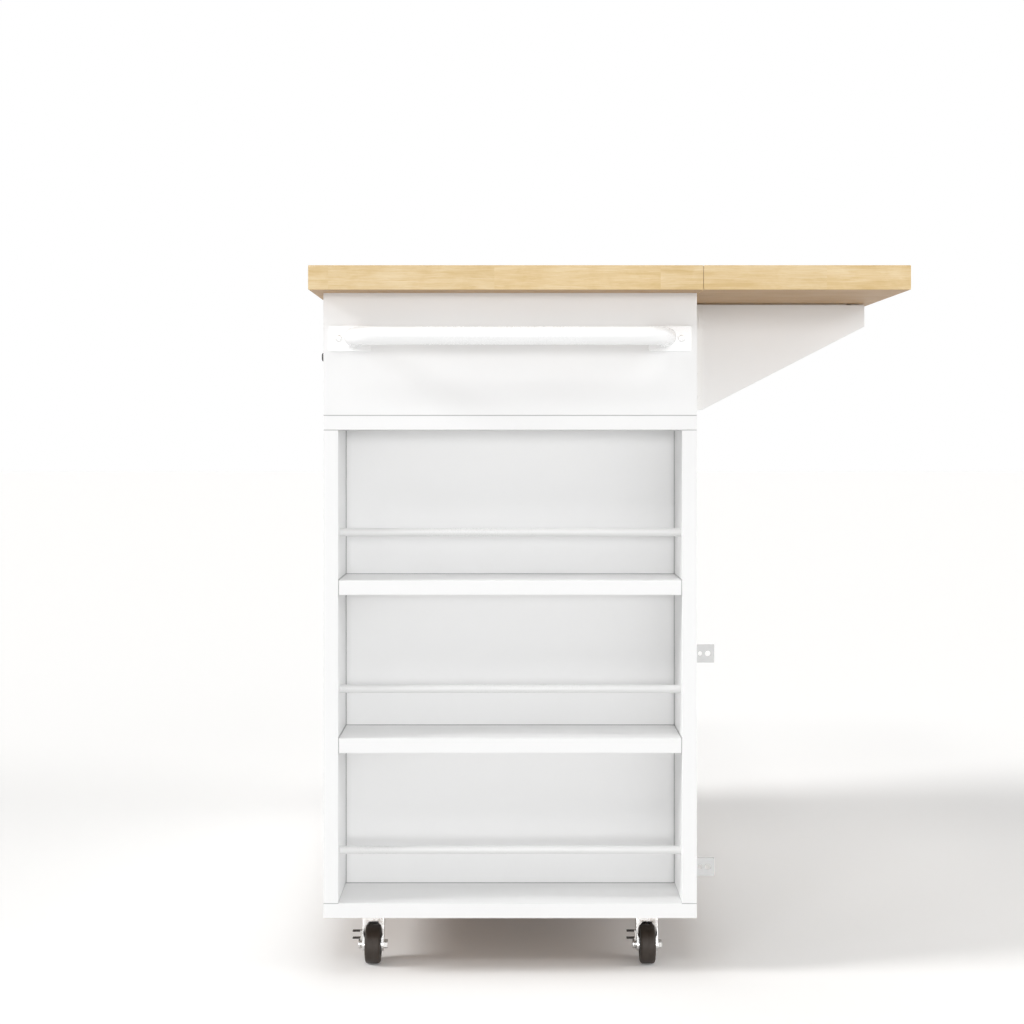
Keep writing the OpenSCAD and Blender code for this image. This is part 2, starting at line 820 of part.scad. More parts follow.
fork_lip_y = [7, 8.6]; // lip that closes the arch behind the wheel
fork_lip_z = [43.5, 57];
axle_head_r = 6;
axle_head_h = 2;
axle_out = 5;          // axle past a brake lever's side of the fork
nut_h = 5;
hub_gap = 0.5;         // gap between the hub and the fork
brake_t = 1.5;         // sheet of a brake lever
brake_w = 6;           // width of a brake lever
brake_eye_r = 6;       // eye of a brake lever
brake_tab = 12.5;      // reach of a lever's tabs
brake_tab_z = [8.7, 18]; // tops of the tabs above the axle
caster_spots = [
    [front_x + caster_inset_x, caster_inset_y],
    [back_x - caster_inset_x, caster_inset_y],
    [front_x + caster_inset_x, cab_l - caster_inset_y],
    [back_x - caster_inset_x, cab_l - caster_inset_y]
];

module at_caster(i) {
    translate(caster_spots[i]) children();
}

module at_caster_screws() {
    reach = caster_plate / 2 - plate_screw_inset;
    for (i = [0 : 3], x = [-reach, reach], y = [-reach, reach])
        at_caster(i) translate([x, y, caster_h - caster_plate_t]) children();
}

// Top plate with the upper half of the ball race and the king pin
module caster_plates() {
    color("#c3c6c8") difference() {
        for (i = [0 : 3]) at_caster(i) {
            translate([-caster_plate / 2, -caster_plate / 2, caster_h - caster_plate_t])
                linear_extrude(caster_plate_t)
                    rounded_rect(caster_plate, caster_plate, plate_corner_r);
            translate([0, 0, crown_z + seat])
                cylinder(r = race_r + race_rim, h = race_h - seat);
            translate([0, 0, king_z]) cylinder(r = king_r, h = crown_z + 1 - king_z);
            translate([0, 0, king_z]) cylinder(r = king_head_r, h = king_head_h - seat);
        }
        at_caster_screws() screw_bore();
    }
}

module caster_screws() {
    color("#b9bbbd") at_caster_screws() pan_screw();
}

// The point where a line from p touches a circle
function tangent(p, centre, r, side) =
    let (d = p - centre, a = atan2(d.y, d.x), b = acos(r / norm(d)))
    centre + r * [cos(a + side * b), sin(a + side * b)];

// Side outline of the fork, as height and travel: from its top down to the axle
module fork_side() {
    axle = [wheel_r, -caster_trail];
    front = [crown_z - fork_shoulder, fork_front - race_r];
    back = [crown_z - fork_shoulder, race_r - fork_rear];
    translate(axle) circle(r = fork_leg_r);
    polygon([axle, tangent(front, axle, fork_leg_r, -1), front, [crown_z + 1, front.y],
             [crown_z + 1, back.y], back, tangent(back, axle, fork_leg_r, 1)]);
}

// Opening of the fork, seen along the travel: straight legs under a round arch with a flat top
module arch() {
    leg = fork_w / 2;
    flat = king_head_r + king_room;
    translate([-leg, -eps]) square([2 * leg, arch_z + eps]);
    translate([0, arch_z]) circle(r = arch_r);
    translate([-flat, arch_z]) square([2 * flat, arch_r]);
}

// Cast fork: an arch with a leg on each side, its round top and its axle bolt
module fork(braked) {
    head_x = fork_half + (braked ? axle_out : axle_head_h);
    difference() {
        union() {
            intersection() {
                translate([0, fork_span / 2, 0]) rotate([90, 0, 0]) linear_extrude(fork_span)
                    difference() {
                        translate([-fork_half, 0]) square([2 * fork_half, crown_z]);
                        arch();
                    }
                translate([fork_half + 1, 0, 0]) rotate([0, -90, 0])
                    linear_extrude(2 * fork_half + 2) fork_side();
            }
            translate([0, 0, crown_z - cup_h]) cylinder(r = race_r, h = cup_h);
            block([-arch_r, arch_r], fork_lip_y, fork_lip_z);
        }
        translate([0, 0, crown_z - crown_h - eps])
            cylinder(r = king_r + pin_fit, h = crown_h + 2 * eps);
    }
    at_axle() {
        translate([0, 0, -head_x]) cylinder(r = axle_r, h = head_x + fork_half + nut_h);
        translate([0, 0, -head_x]) cylinder(r = axle_head_r, h = axle_head_h);
        translate([0, 0, fork_half]) cylinder(r = axle_head_r, h = nut_h, $fn = 6);
    }
}

// Turns Z into the axle of a caster
module at_axle() {
    translate([0, -caster_trail, wheel_r]) rotate([0, 90, 0]) children();
}

// Moulded wheel: a round-shouldered tread on a hub
module wheel() {
    hub = fork_w / 2 - hub_gap;
    half = wheel_w / 2;
    shoulder = wheel_shoulder;
    at_axle() rotate_extrude() difference() {
        union() {
            translate([0, -hub]) square([hub_r, 2 * hub]);
            translate([0, shoulder - half]) square([wheel_r - shoulder, wheel_w - 2 * shoulder]);
            translate([wheel_r - wheel_rim, -half]) square([wheel_rim - shoulder, wheel_w]);
            translate([wheel_r - wheel_rim, shoulder - half])
                square([wheel_rim, wheel_w - 2 * shoulder]);
            for (side = [-1, 1])
                translate([wheel_r - shoulder, side * (half - shoulder)]) circle(r = shoulder);
        }
        translate([-wheel_r, -wheel_w]) square([wheel_r + axle_r + pin_fit, 2 * wheel_w]);
    }
}

// Side brake: a sheet lever with an eye around the axle and two foot tabs
module brake_lever() {
    x0 = -fork_half - 2 * seat - brake_t;
    eye = brake_t + seat;
    at_axle() translate([0, 0, x0]) difference() {
        union() {
            cylinder(r = brake_eye_r, h = eye);
            translate([-brake_tab_z[1], -brake_w / 2, 0]) cube([brake_tab_z[1], brake_w, brake_t]);
            for (z = brake_tab_z)
                translate([-z, -brake_w / 2, brake_t - brake_tab]) cube([brake_t, brake_w, brake_tab]);
        }
        translate([0, 0, -eps]) cylinder(r = axle_r + pin_fit, h = eye + 2 * eps);
    }
}

module near_front_fork() { color("#c3c6c8") at_caster(0) fork(true); }
module near_back_fork() { color("#c3c6c8") at_caster(1) fork(true); }
module far_front_fork() { color("#c3c6c8") at_caster(2) fork(false); }
module far_back_fork() { color("#c3c6c8") at_caster(3) fork(false); }
module near_front_wheel() { color("#3a332d") at_caster(0) wheel(); }
module near_back_wheel() { color("#3a332d") at_caster(1) wheel(); }
module far_front_wheel() { color("#3a332d") at_caster(2) wheel(); }
module far_back_wheel() { color("#3a332d") at_caster(3) wheel(); }
module near_front_brake() { color("#c3c6c8") at_caster(0) brake_lever(); }
module near_back_brake() { color("#c3c6c8") at_caster(1) brake_lever(); }

placed() worktop();
placed() drop_leaf();
placed() leaf_hinge_plates();
placed() leaf_hinge_flaps();
placed() bottom_board();
placed() middle_board();
placed() near_end_panel();
placed() far_end_panel();
placed() rack_stiles();
placed() rack_partition();
placed() rack_shelves();
placed() rack_rails();
placed() drawer_partition();
placed() drawer_divider();
placed() cupboard_divider();
placed() front_filler();
placed() lower_back_panel();
placed() upper_back_panel();
placed() back_posts();
placed() front_top_rail();
placed() back_top_rail();
placed() cupboard_shelves();
placed() shelf_pins();
placed() drawer_rails();
placed() door_hinge_plates();
placed() wing_hinge_plates();
placed() towel_bar();
placed() towel_bar_plates();
placed() tie_brackets();
placed() pan_head_screws();
placed() caster_plates();
placed() caster_screws();
placed() near_wing();
placed() near_wing_flap();
placed() near_wing_pad();
placed() far_wing();
placed() far_wing_flap();
placed() far_wing_pad();
placed() near_door();
placed() near_door_flaps();
placed() near_door_pull();
placed() far_door();
placed() far_door_flaps();
placed() far_door_pull();
placed() near_drawer_front();
placed() near_drawer_box();
placed() near_drawer_pull();
placed() far_drawer_front();
placed() far_drawer_box();
placed() far_drawer_pull();
placed() near_front_fork();
placed() near_back_fork();
placed() far_front_fork();
placed() far_back_fork();
placed() near_front_wheel();
placed() near_back_wheel();
placed() far_front_wheel();
placed() far_back_wheel();
placed() near_front_brake();
placed() near_back_brake();
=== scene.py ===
import json
import math

import bmesh
import bpy
from mathutils import Matrix, Vector


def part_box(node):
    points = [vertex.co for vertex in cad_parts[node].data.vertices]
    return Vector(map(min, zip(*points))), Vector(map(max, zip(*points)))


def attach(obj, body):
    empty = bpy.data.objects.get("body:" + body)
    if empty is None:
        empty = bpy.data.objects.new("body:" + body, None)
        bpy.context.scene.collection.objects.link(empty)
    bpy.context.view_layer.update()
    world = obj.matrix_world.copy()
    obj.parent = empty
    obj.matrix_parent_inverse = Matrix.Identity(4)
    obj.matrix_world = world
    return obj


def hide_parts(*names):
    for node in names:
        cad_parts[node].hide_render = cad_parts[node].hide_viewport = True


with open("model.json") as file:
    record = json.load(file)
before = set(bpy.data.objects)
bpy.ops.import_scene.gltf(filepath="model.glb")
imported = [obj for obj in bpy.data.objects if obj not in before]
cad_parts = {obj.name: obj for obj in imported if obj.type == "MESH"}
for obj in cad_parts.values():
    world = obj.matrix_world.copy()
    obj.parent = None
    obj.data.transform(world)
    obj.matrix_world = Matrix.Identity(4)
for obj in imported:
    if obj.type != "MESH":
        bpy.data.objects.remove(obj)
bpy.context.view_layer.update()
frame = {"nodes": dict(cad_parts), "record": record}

NODES = frame["nodes"]

# The cabinet's own zero in the row frame, in metres: its middle and the rack's face
X0 = -0.117
Y0 = -0.48625

# The cabinet in its own millimetres: x from the middle, y from the rack's face, z from the floor
LENGTH = 1004
RACK_HALF = 222            # from the middle to the inside of a stile
RACK_DEPTH = 100
BOTTOM_BOARD = (74, 93)    # underside and top of each board
MIDDLE_BOARD = (704, 723)
SHELF_TOPS = (306, 510)
WORKTOP_UNDERSIDE = 881
SEAM_X = 244.25            # the seam between worktop and leaf
CASTER_X = 181

TOWEL_SCREW = (221, -2.5, 822)
TIE_SCREW = (243, 102)
TIE_HEIGHTS = (111.5, 401)
LEAF_HINGES = (245, 502, 759)
LEAF_SCREWS = ((-26, 9), (-9, 18), (9, 9), (26, 18))    # along the seam, away from it
WING_SCREW_HEIGHTS = (750, 782, 830, 862)
POST_SCREW = (242.5, 346)       # x, and y from the cabinet's middle
WING_SCREW = (259, 328.5)

# Radius and height of the screw heads, in metres, and how far each is turned past the one before
PAN_HEAD = (0.0045, 0.002)
LEAF_HEAD = (0.0030, 0.0003)
WING_HEAD = (0.0028, 0.0004)
FIRST_TURN, NEXT_TURN = 0.35, 1.1

# The wheels, in metres
CASTERS = ("near_front", "near_back", "far_front", "far_back")
TREAD_HALF = 0.010         # half the tread's width
RIM_IN = 0.0155            # radius where the tread meets the hub
BORE = 0.00305             # the hub's inner radius, clear of the axle
TREAD_STEPS = 96
HUB_STEPS = 72
RIBS = 6
RIB_SIZE = (0.0022, 0.0016, 0.0088)
RIB_X = 0.0080
RIB_RADIUS = 0.0108
RIB_TURN = 0.3             # of the first rib
BRAKE_REACH = 0.0172       # the brake's tabs are black past this, from the caster's middle

# The photograph's camera: its place in metres, its lens in millimetres, its upward shift
CAMERA_AT = (-0.1146, -2.65925, 0.697)
CAMERA_LENS = 59.2
CAMERA_SHIFT = -0.0747

# How far each node's edges are softened, in metres: by its name, else its ending, else as a board
EDGES = {"rack_rails": 0.0, "towel_bar": 0.0, "pan_head_screws": 0.0, "door_hinge_plates": 0.00015,
         "wing_hinge_plates": 0.00015, "drawer_rails": 0.0002, "leaf_hinge_plates": 0.0002,
         "leaf_hinge_flaps": 0.0002, "worktop": 0.0002, "drop_leaf": 0.0002, "shelf_pins": 0.0003,
         "tie_brackets": 0.0003, "caster_screws": 0.0003, "caster_plates": 0.0004,
         "towel_bar_plates": 0.0006}
EDGE_ENDINGS = {"_flap": 0.00015, "_flaps": 0.00015, "_fork": 0.0003, "_brake": 0.0003,
                "_pull": 0.0009, "_pad": 0.0005, "_wheel": 0.0}
BOARD_EDGE = 0.0007

# Nodes whose look differs from their material slot's
LOOKS = {"rack_rails": "rail_white", "tie_brackets": "bracket_grey",
         "near_front_brake": "brake_lever", "near_back_brake": "brake_lever"}

# Soft suns: heading 0 shines along +X and 90 along +Y, from a height in degrees
WHITE = (1.0, 1.0, 1.0)
COOL = (0.98, 0.99, 1.0)
SUNS = (
    # name, heading, height, power, spread, colour
    ("front_low", 90, 6, 0.20, 11, WHITE),
    ("front_key", 90, 47, 0.045, 7, WHITE),
    ("left_key", 60, 42, 0.05, 9, WHITE),
    ("left_mid", 33, 35, 0.045, 18, WHITE),
    ("left_side", 10, 30, 0.56, 16, WHITE),
    ("right_side", 168, 30, 0.22, 25, WHITE),
    ("right_low", 130, 12, 0.245, 60, COOL),
    ("back_high", 270, 55, 0.075, 40, WHITE),
    ("top", 90, 88, 0.11, 30, WHITE),
)
SKY = 0.20                 # the world's light on the object
FLOOR_SIZE = 30            # from its middle to its edge
FLOOR_LIT = (0.94, 0.938, 0.935, 1)     # the floor's colour for the light it throws back
FLOOR_SEEN = (1.0, 0.992, 0.98, 1)      # and as it is seen
FLOOR_GLOW = 0.07


def mm(value):
    return value / 1000


def spot(x, y, z):
    """A point given in the cabinet's own millimetres."""
    return Vector((X0 + mm(x), Y0 + mm(y), mm(z)))


def srgb(r, g, b):
    """A colour given as 0 to 255, as the shader wants it."""
    def one(v):
        v /= 255
        return v / 12.92 if v <= 0.04045 else ((v + 0.055) / 1.055) ** 2.4
    return (one(r), one(g), one(b))


def link(obj):
    bpy.context.scene.collection.objects.link(obj)
    return obj


# ---- Camera ----

def make_camera():
    data = bpy.data.cameras.new("camera")
    data.lens = CAMERA_LENS
    data.sensor_width = 36
    data.shift_y = CAMERA_SHIFT
    cam = link(bpy.data.objects.new("camera", data))
    cam.location = CAMERA_AT
    cam.rotation_euler = (math.pi / 2, 0, 0)
    bpy.context.scene.camera = cam


# ---- Materials ----

class Graph:
    """The node tree of a material or world, with short calls to add and join its nodes.

    A value given to an input is a number, a colour or another node's output.
    """

    def __init__(self, owner):
        owner.use_nodes = True
        self.tree = owner.node_tree

    def add(self, kind, inputs=(), **props):
        node = self.tree.nodes.new("ShaderNode" + kind)
        for key, value in props.items():
            setattr(node, key, value)
        for key, value in dict(inputs).items():
            self.put(value, node.inputs[key])
        return node

    def put(self, value, socket):
        if isinstance(value, bpy.types.NodeSocket):
            self.tree.links.new(value, socket)
        else:
            socket.default_value = value

    def place(self, scale, shift=None):
        """The object's own coordinates, with an optional shift, stretched."""
        coord = self.add("TexCoord").outputs["Object"]
        if shift is not None:
            coord = self.shifted(coord, shift)
        return self.product(coord, scale)

    def shifted(self, vector, by):
        return self.add("VectorMath", {0: vector, 1: by}, operation="ADD").outputs[0]

    def product(self, vector, by):
        return self.add("VectorMath", {0: vector, 1: by}, operation="MULTIPLY").outputs[0]

    def scaled(self, vector, by):
        return self.add("VectorMath", {0: vector, "Scale": by}, operation="SCALE").outputs[0]

    def axes(self, vector):
        node = self.add("SeparateXYZ", {0: vector})
        return node.outputs["X"], node.outputs["Y"], node.outputs["Z"]

    def noise(self, vector, detail=4.0, rough=0.55, twist=0.0):
        node = self.add("TexNoise", {"Vector": vector, "Scale": 1.0, "Detail": detail,
                                     "Roughness": rough, "Distortion": twist})
        return node.outputs["Fac"]

    def math(self, kind, a, b=0.0, c=0.0):
        return self.add("Math", {0: a, 1: b, 2: c}, operation=kind).outputs[0]

    def times(self, a, b):
        return self.math("MULTIPLY", a, b)

    def plus(self, a, b):
        return self.math("ADD", a, b)

    def off(self, a, b):
        """How far a is from b."""
        return self.math("ABSOLUTE", self.math("SUBTRACT", a, b))

    def mixed(self, fac, a, b):
        return self.add("Mix", {0: fac, 6: a, 7: b}, data_type="RGBA").outputs[2]

    def ramp(self, fac, stops):
        node = self.add("ValToRGB", {"Fac": fac})
        points = node.color_ramp.elements
        while len(points) < len(stops):
            points.new(0.5)
        for point, (at, colour) in zip(points, stops):
            point.position = at
            point.color = (*colour, 1)
        return node.outputs["Color"]

    def span(self, fac, low, high, to_low, to_high):
        return self.add("MapRange", {"Value": fac, "From Min": low, "From Max": high,
                                     "To Min": to_low, "To Max": to_high}).outputs[0]

    def bump(self, height, distance, strength, under=None):
        node = self.add("Bump", {"Height": height, "Distance": distance, "Strength": strength})
        if under is not None:
            self.put(under, node.inputs["Normal"])
        return node.outputs["Normal"]

    def seen_rays(self):
        """1 for rays from the camera, or from a mirror or glass in view, else 0."""
        path = self.add("LightPath")
        first = self.math("MAXIMUM", path.outputs["Is Camera Ray"], path.outputs["Is Glossy Ray"])
        return self.math("MAXIMUM", first, path.outputs["Is Transmission Ray"])


class Material(Graph):
    """A new material, with its main shader's sockets set by name."""

    def __init__(self, name):
        self.mat = bpy.data.materials.new(name)
        super().__init__(self.mat)

    def set(self, **values):
        shader = self.tree.nodes["Principled BSDF"]
        for key, value in values.items():
            self.put(value, shader.inputs[key.replace("_", " ")])


def wood(name, colours, stave, block, under):
    """Edge-glued staves along X in blocks of slightly different tone, oiled, with painted shade below height
    under.
    """
    g = Material(name)
    x, y, z = g.axes(g.add("TexCoord").outputs["Object"])
    most_shift = 3.0           # of a stave along its neighbour, in blocks
    finger = 0.002             # half the pitch of the finger joints
    finger_slope = 2.2         # blocks along for a metre across
    row = g.math("FLOOR", g.math("DIVIDE", y, stave))
    shift = g.add("TexWhiteNoise", {"W": row}, noise_dimensions="1D").outputs["Value"]
    cell = g.plus(g.math("DIVIDE", x, block), g.times(shift, most_shift))
    tooth = g.times(g.math("PINGPONG", y, finger), finger_slope)
    column = g.math("FLOOR", g.plus(cell, tooth))
    ids = g.add("CombineXYZ", {"X": row, "Y": column, "Z": 0.0}).outputs[0]
    pick = g.add("TexWhiteNoise", {"Vector": ids}, noise_dimensions="3D")

    # Year rings, soft patches and fibres, which start elsewhere in every block
    jump = g.product(pick.outputs["Color"], (0.004, 0.03, 0.03))
    rings = g.noise(g.place((5, 60, 60), jump), twist=0.9)
    patch = g.noise(g.place((24, 45, 45), jump), detail=5.0, rough=0.62, twist=0.4)
    fibre = g.noise(g.place((20, 620, 620), jump), detail=3.0, rough=0.6, twist=1.6)
    pores = g.noise(g.place((70, 1500, 1500), jump), detail=2.0, rough=0.5)
    look = g.plus(g.plus(g.times(rings, 0.34), g.times(patch, 0.32)), g.times(fibre, 0.34))
    low, mid, high = colours
    colour = g.ramp(look, [(0.38, low), (0.5, mid), (0.62, high)])

    # The blocks' tones, the dark pores and the glue lines, and painted shade that darkens and browns the
    # underside
    tone = g.span(pick.outputs["Value"], 0, 1, 0.965, 1.01225)
    dark = g.span(pores, 0.30, 0.42, 0.965, 1.0)
    to_glue = g.math("PINGPONG", g.math("DIVIDE", y, stave), 0.5)
    glue = g.span(to_glue, 0.0, 0.012, 0.94, 1.0)
    oiled = g.scaled(colour, g.times(g.times(tone, dark), glue))
    under_shade_tint = (0.60, 0.49, 0.41)
    under_shaded = g.product(oiled, under_shade_tint)
    g.set(Base_Color=g.mixed(g.math("LESS_THAN", z, under), oiled, under_shaded))
    g.set(Specular_IOR_Level=0.42, IOR=1.48, Roughness=g.span(fibre, 0.3, 0.7, 0.39, 0.53))
    grooves = g.bump(glue, 0.0002, 0.4)
    g.set(Normal=g.bump(look, 0.0001, 0.35, grooves))
    return g.mat


def painted(name, colour, rough, peel=0.00002, sheen=0.5, board=False):
    """Sprayed satin paint: a fine orange peel, a slow change of gloss and a trace of tone."""
    g = Material(name)
    fine = g.noise(g.place((620, 620, 620)), detail=2.0, rough=0.5)
    slow = g.noise(g.place((5, 5, 5)), detail=3.0, rough=0.6)
    specks = g.noise(g.place((2300, 2300, 2300)), detail=1.0, rough=0.5)
    tone = g.plus(g.span(slow, 0.3, 0.7, 0.985, 1.0), g.span(specks, 0.25, 0.75, -0.006, 0.006))
    tint = g.scaled(colour, tone)
    # On the cabinet's boards: an unpainted brown underside, and painted shade lines at the joints and inner
    # corners
    if board:
        tint = joint_shade_and_underside(g, tint, specks)
    g.set(Base_Color=tint, Specular_IOR_Level=sheen, IOR=1.5)
    g.set(Roughness=g.plus(g.span(slow, 0.3, 0.7, rough - 0.04, rough + 0.05),
                           g.span(fine, 0.3, 0.7, -0.03, 0.03)))
    g.set(Normal=g.bump(fine, peel, 0.6))
    return g.mat


def joint_shade_and_underside(g, tint, specks):
    """The unpainted brown underside of the cabinet, and painted shade: dark hairlines where its boards meet
    and in the rack's inner corners.
    """
    x, y, z = g.axes(g.shifted(g.add("TexCoord").outputs["Object"], (-X0, -Y0, 0)))
    side = g.math("ABSOLUTE", x)
    fibre = g.ramp(specks, [(0.3, srgb(128, 100, 72)), (0.7, srgb(158, 128, 96))])
    tint = g.mixed(g.math("LESS_THAN", z, mm(BOTTOM_BOARD[0] + 0.2)), tint, fibre)
    floor, ceiling = mm(BOTTOM_BOARD[1]), mm(MIDDLE_BOARD[0])

    # Painted shade on the front: dark hairlines above and below the middle board, and at the stiles' feet
    off = g.math("MINIMUM", g.off(z, mm(MIDDLE_BOARD[1])), g.off(z, ceiling))
    foot = g.plus(g.off(z, floor), g.math("LESS_THAN", side, mm(RACK_HALF - 0.5)))
    off = g.math("MINIMUM", off, foot)
    on_front = g.math("LESS_THAN", y, 0.0009)
    front_shade = 0.55
    front = g.times(on_front, g.span(off, 0.0003, 0.0006, front_shade, 0.0))

    # Painted shade inside the rack: dark hairlines in the corners of the back, above the shelves and at
    # their ends
    half = 0.0005              # half a line's width
    inner_shade = 0.5
    line = g.math("COMPARE", y, mm(RACK_DEPTH - 0.7), half)
    for top in (BOTTOM_BOARD[1], *SHELF_TOPS):
        line = g.math("MAXIMUM", line, g.math("COMPARE", z, mm(top + 0.6), half))
    middle, reach = (floor + ceiling) / 2, (ceiling - floor) / 2 - half
    ends = g.times(g.math("COMPARE", side, mm(RACK_HALF - 0.7), half), g.math("COMPARE", z, middle, reach))
    line = g.math("MAXIMUM", line, ends)
    for low, high in ((side, mm(RACK_HALF + 0.2)), (y, mm(RACK_DEPTH + 0.3)),
                      (z, ceiling - 0.0002), (floor - 0.001, z)):
        line = g.times(line, g.math("LESS_THAN", low, high))
    behind_face = g.math("GREATER_THAN", y, -0.0005)
    inner = g.times(line, g.times(behind_face, inner_shade))
    return g.scaled(tint, g.math("SUBTRACT", 1.0, g.math("MAXIMUM", front, inner)))


def metal(name, colour, rough, brush, spangle=0.0, pure=1.0, dip=None):
    """Plated or brushed metal, with streaks along one way and a faint change of colour."""
    g = Material(name)
    streak = g.noise(g.place(brush), detail=3.0, rough=0.6)
    slow = g.noise(g.place((38, 38, 38)), detail=2.0, rough=0.5)
    cells = g.add("TexVoronoi", {"Vector": g.place((420, 420, 420)), "Scale": 1.0})
    flake = g.times(g.axes(cells.outputs["Color"])[0], spangle)
    tint = g.scaled(colour, g.plus(g.span(slow, 0.3, 0.7, 0.93, 1.0), flake))
    if dip is not None:
        tint, pure = dipped(g, tint, dip)
    g.set(Base_Color=tint, Metallic=pure)
    g.set(Roughness=g.plus(g.span(streak, 0.25, 0.75, rough - 0.07, rough + 0.10), flake))
    g.set(Normal=g.bump(streak, 0.00002, 0.5))
    return g.mat


def dipped(g, tint, reach):
    """Zinc plate whose ends past reach, on the door side of each caster, are dipped in black."""
    x = g.axes(g.add("TexCoord").outputs["Object"])[0]
    half = 0.010               # half the length that was dipped
    ends = 0.0
    for caster_x in (-CASTER_X, CASTER_X):
        middle = X0 + mm(caster_x) - reach - half
        ends = g.math("MAXIMUM", ends, g.math("COMPARE", x, middle, half))
    black = (0.02, 0.019, 0.018, 1)
    return g.mixed(ends, tint, black), g.math("SUBTRACT", 1.0, ends)


def moulded(name, colour, rough, grain=0.00006, dust=(0.30, 0.27, 0.24), dusting=0.10):
    """Moulded rubber or plastic: a fine matt grain and a little dust in it."""
    g = Material(name)
    fine = g.noise(g.place((1500, 1500, 1500)), detail=2.0, rough=0.6)
    slow = g.noise(g.place((60, 60, 60)), rough=0.65)
    mask = g.times(g.span(slow, 0.45, 0.8, 0.0, dusting), g.span(fine, 0.4, 0.7, 0.4, 1.0))
    g.set(Base_Color=g.mixed(mask, (*colour, 1), (*dust, 1)), Specular_IOR_Level=0.35, IOR=1.5)
    g.set(Roughness=g.span(slow, 0.3, 0.7, rough - 0.06, rough + 0.08))
    g.set(Normal=g.bump(fine, grain, 0.7))
    return g.mat


def ply(name):
    """Drawer ply: pale flat grain with fine fibres."""
    g = Material(name)
    grain = g.noise(g.place((9, 150, 150)), detail=5.0, rough=0.6, twist=0.8)
    fibre = g.noise(g.place((60, 1500, 1500)), detail=2.0, rough=0.6)
    look = g.plus(g.times(grain, 0.7), g.times(fibre, 0.3))
    colour = g.ramp(look, [(0.32, srgb(222, 204, 170)), (0.5, srgb(236, 222, 194)),
                           (0.7, srgb(245, 235, 213))])
    g.set(Base_Color=colour, Specular_IOR_Level=0.4, IOR=1.48)
    g.set(Roughness=g.span(fibre, 0.3, 0.7, 0.42, 0.56), Normal=g.bump(look, 0.00008, 0.4))
    return g.mat


def make_materials():
    """Every look by its name."""
    beech = (srgb(206, 175, 119), srgb(219, 192, 144), srgb(230, 208, 168))
    steel = (0.62, 0.61, 0.59)
    looks = {
        "beech_top": (wood, dict(colours=beech, stave=0.042, block=0.21, under=mm(WORKTOP_UNDERSIDE + 0.2))),
        "white_board": (painted, dict(colour=(0.87, 0.87, 0.868), rough=0.40, peel=0.00004, sheen=0.4,
                                      board=True)),
        "white_metal": (painted, dict(colour=(0.93, 0.93, 0.928), rough=0.24)),
        "rail_white": (painted, dict(colour=(0.76, 0.76, 0.755), rough=0.3)),
        "bracket_grey": (painted, dict(colour=(0.66, 0.66, 0.655), rough=0.34)),
        "wing_hinge_white": (painted, dict(colour=(0.84, 0.84, 0.83), rough=0.3)),
        "black_metal": (painted, dict(colour=(0.028, 0.027, 0.026), rough=0.34)),
        "dark_steel": (metal, dict(colour=(0.17, 0.14, 0.12), rough=0.42, brush=(300, 30, 300))),
        "brake_lever": (metal, dict(colour=steel, rough=0.34, brush=(300, 30, 300), dip=BRAKE_REACH)),
        "hinge_steel": (metal, dict(colour=steel, rough=0.3, brush=(900, 900, 30))),
        "zinc": (metal, dict(colour=(0.78, 0.78, 0.77), rough=0.24, brush=(80, 80, 80), spangle=0.05)),
        "screw_steel": (metal, dict(colour=(0.88, 0.88, 0.87), rough=0.3, brush=(500, 500, 500), pure=0.75)),
        "tread": (moulded, dict(colour=(0.036, 0.027, 0.021), rough=0.5, dusting=0.07)),
        "hub": (moulded, dict(colour=(0.10, 0.10, 0.10), rough=0.42, grain=0.00003, dusting=0.05)),
        "pad_rubber": (moulded, dict(colour=(0.72, 0.70, 0.67), rough=0.5, dust=(0.6, 0.56, 0.5))),
        "drawer_ply": (ply, dict()),
    }
    return {name: make(name, **values) for name, (make, values) in looks.items()}


# ---- The CAD's own nodes ----

def dress(obj, material, edge):
    """Gives a CAD node its material, soft edges and clean shading."""
    obj.data.materials.clear()
    obj.data.materials.append(material)
    for face in obj.data.polygons:
        face.use_smooth = True
        face.material_index = 0
    weld = obj.modifiers.new("weld", "WELD")
    weld.merge_threshold = 0.00001
    if edge:
        flat = obj.modifiers.new("flat", "DECIMATE")
        flat.decimate_type = "DISSOLVE"
        flat.angle_limit = math.radians(0.4)
        bevel = obj.modifiers.new("edge", "BEVEL")
        bevel.width = edge
        bevel.segments = 2
        bevel.limit_method = "ANGLE"
        bevel.angle_limit = math.radians(32)
        bevel.use_clamp_overlap = True
        bevel.harden_normals = False
    normals = obj.modifiers.new("normals", "WEIGHTED_NORMAL")
    normals.keep_sharp = True
    normals.weight = 80


def edge_of(node):
    """How far a node's edges are softened."""
    by_ending = [edge for ending, edge in EDGE_ENDINGS.items() if node.endswith(ending)]
    return EDGES.get(node, by_ending[0] if by_ending else BOARD_EDGE)


def dress_nodes(mats):
    slots = {s["node"]: s["material_slot"] for s in frame["record"]["subparts"]}
    for node, obj in NODES.items():
        dress(obj, mats[LOOKS.get(node, slots[node])], edge_of(node))


# ---- New pieces ----

def new_piece(name, mesh, material, body):
    """A piece that rides on a CAD body and takes its finish from a slot."""
    obj = link(bpy.data.objects.new(name, mesh))
    mesh.materials.clear()
    mesh.materials.append(material)
    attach(obj, body)
    return obj


def finish_mesh(bm, name, smooth_angle=38):
    bmesh.ops.recalc_face_normals(bm, faces=bm.faces)
    mesh = bpy.data.meshes.new(name)
    bm.to_mesh(mesh)
    bm.free()
    for face in mesh.polygons:
        face.use_smooth = True
    mesh.set_sharp_from_angle(angle=math.radians(smooth_angle))
    return mesh


